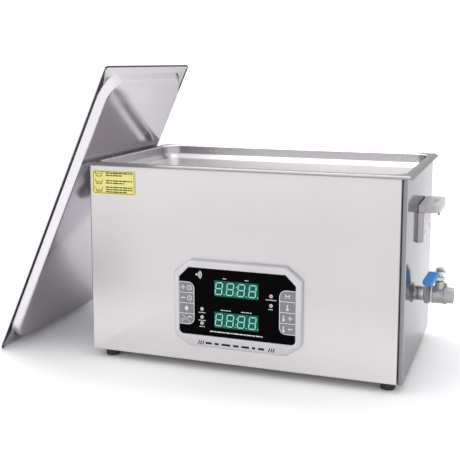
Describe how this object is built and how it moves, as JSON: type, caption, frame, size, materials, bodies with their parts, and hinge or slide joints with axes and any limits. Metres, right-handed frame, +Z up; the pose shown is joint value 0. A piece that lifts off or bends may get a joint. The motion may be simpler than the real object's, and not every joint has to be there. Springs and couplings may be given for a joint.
{
  "type": "ultrasonic cleaner",
  "caption": "Bench-top ultrasonic cleaner: a deep steel tank in a sheet-steel housing with a control panel, side handles, a drain ball valve and a pressed lid leaning on its side.",
  "frame": {"origin": "on the bench surface, under the middle of the whole object's box, lid and drain valve included", "axes": "+X to the right as the user faces the control panel, +Y to the back, +Z up; the control panel faces -Y"},
  "size_m": [0.7388, 0.346, 0.4841],
  "materials": {
    "housing_steel": "fine vertical brushing, satin",
    "polished_steel": "bright, softly mirroring stainless",
    "bezel_silver": "silver-painted plastic",
    "overlay_black": "glossy black film",
    "key_grey": "fine-textured grey film",
    "display_green": "tinted filter over lit segments",
    "lens_white": "clear-white lens",
    "foot_rubber": "matt black rubber",
    "handle_grey": "fine-textured light grey plastic",
    "notice_yellow": "printed vinyl sticker",
    "valve_nickel": "cast and turned, nickel coloured",
    "sleeve_blue": "dipped blue vinyl",
    "seat_white": "white fluoropolymer",
    "transducer_alloy": "turned and extruded aluminium",
    "silicone_red": "silicone heater mat",
    "board_green": "solder-masked circuit board",
    "fitting_black": "black moulded plastic"
  },
  "bodies": {
    "chassis": {"tank": "polished_steel", "housing_wrap": "housing_steel", "front_panel": "housing_steel", "base_plate": "housing_steel", "foot_front_left": "foot_rubber", "foot_front_right": "foot_rubber", "foot_back_left": "foot_rubber", "foot_back_right": "foot_rubber", "control_bezel": "bezel_silver", "control_overlay": "overlay_black", "display_upper": "display_green", "display_lower": "display_green", "light_guide_left": "lens_white", "light_guide_right": "lens_white", "control_board": "board_green", "notice_label": "notice_yellow", "handle_base_right": "handle_grey", "handle_base_left": "handle_grey", "drain_elbow": "valve_nickel", "drain_nipple": "valve_nickel", "drain_locknut": "valve_nickel", "valve_end_cap": "valve_nickel", "valve_body": "valve_nickel", "valve_seat_outlet": "seat_white", "valve_seat_inlet": "seat_white", "transducer_1": "transducer_alloy", "transducer_2": "transducer_alloy", "transducer_3": "transducer_alloy", "transducer_4": "transducer_alloy", "transducer_5": "transducer_alloy", "transducer_6": "transducer_alloy", "heater_pad_front": "silicone_red", "heater_pad_back": "silicone_red", "temperature_sensor": "valve_nickel", "generator_board": "board_green", "generator_heatsink": "transducer_alloy", "fan_frame": "fitting_black", "fan_grille": "polished_steel", "power_inlet": "fitting_black", "switch_frame": "fitting_black"},
    "left_key_1": {"key_left_1": "key_grey"},
    "left_key_2": {"key_left_2": "key_grey"},
    "left_key_3": {"key_left_3": "key_grey"},
    "left_key_4": {"key_left_4": "key_grey"},
    "right_key_1": {"key_right_1": "key_grey"},
    "right_key_2": {"key_right_2": "key_grey"},
    "right_key_3": {"key_right_3": "key_grey"},
    "right_key_4": {"key_right_4": "key_grey"},
    "right_grip": {"handle_grip_right": "handle_grey", "handle_pin_right": "valve_nickel"},
    "left_grip": {"handle_grip_left": "handle_grey", "handle_pin_left": "valve_nickel"},
    "valve_handle": {"valve_ball": "polished_steel", "valve_stem": "valve_nickel", "valve_lever": "valve_nickel", "lever_sleeve": "sleeve_blue", "valve_lever_nut": "valve_nickel"},
    "rocker": {"switch_rocker": "fitting_black"},
    "fan": {"fan_rotor": "fitting_black"},
    "lid_body": {"lid": "polished_steel"}
  },
  "joints": [
    {"name": "press_left_key_1", "type": "slide", "parent": "chassis", "child": "left_key_1", "axis": [0, 1, 0], "range_m": [0, 0.0008], "stiffness_N_per_m": 600},
    {"name": "press_left_key_2", "type": "slide", "parent": "chassis", "child": "left_key_2", "axis": [0, 1, 0], "range_m": [0, 0.0008], "stiffness_N_per_m": 600},
    {"name": "press_left_key_3", "type": "slide", "parent": "chassis", "child": "left_key_3", "axis": [0, 1, 0], "range_m": [0, 0.0008], "stiffness_N_per_m": 600},
    {"name": "press_left_key_4", "type": "slide", "parent": "chassis", "child": "left_key_4", "axis": [0, 1, 0], "range_m": [0, 0.0008], "stiffness_N_per_m": 600},
    {"name": "press_right_key_1", "type": "slide", "parent": "chassis", "child": "right_key_1", "axis": [0, 1, 0], "range_m": [0, 0.0008], "stiffness_N_per_m": 600},
    {"name": "press_right_key_2", "type": "slide", "parent": "chassis", "child": "right_key_2", "axis": [0, 1, 0], "range_m": [0, 0.0008], "stiffness_N_per_m": 600},
    {"name": "press_right_key_3", "type": "slide", "parent": "chassis", "child": "right_key_3", "axis": [0, 1, 0], "range_m": [0, 0.0008], "stiffness_N_per_m": 600},
    {"name": "press_right_key_4", "type": "slide", "parent": "chassis", "child": "right_key_4", "axis": [0, 1, 0], "range_m": [0, 0.0008], "stiffness_N_per_m": 600},
    {"name": "fold_right_grip", "type": "hinge", "parent": "chassis", "child": "right_grip", "pos_m": [0.32399, 0.023, 0.2565], "axis": [0, 1, 0], "range_deg": [0, 90]},
    {"name": "raise_left_grip", "type": "hinge", "parent": "chassis", "child": "left_grip", "pos_m": [-0.21221, 0.023, 0.2565], "axis": [0, 1, 0], "range_deg": [0, 90]},
    {"name": "open_drain_valve", "type": "hinge", "parent": "chassis", "child": "valve_handle", "pos_m": [0.34689, 0.008, 0.117], "axis": [0, 0, 1], "range_deg": [0, 90]},
    {"name": "rock_mains_switch", "type": "hinge", "parent": "chassis", "child": "rocker", "pos_m": [0.17089, 0.164, 0.054], "axis": [1, 0, 0], "range_deg": [0, 20]},
    {"name": "spin_fan", "type": "hinge", "parent": "chassis", "child": "fan", "pos_m": [-0.06411, 0.151, 0.068], "axis": [0, 1, 0], "continuous": true},
    {"name": "lift_lid", "type": "slide", "parent": "chassis", "child": "lid_body", "axis": [0, 0, 1], "range_m": [0, 0.35]}
  ]
}
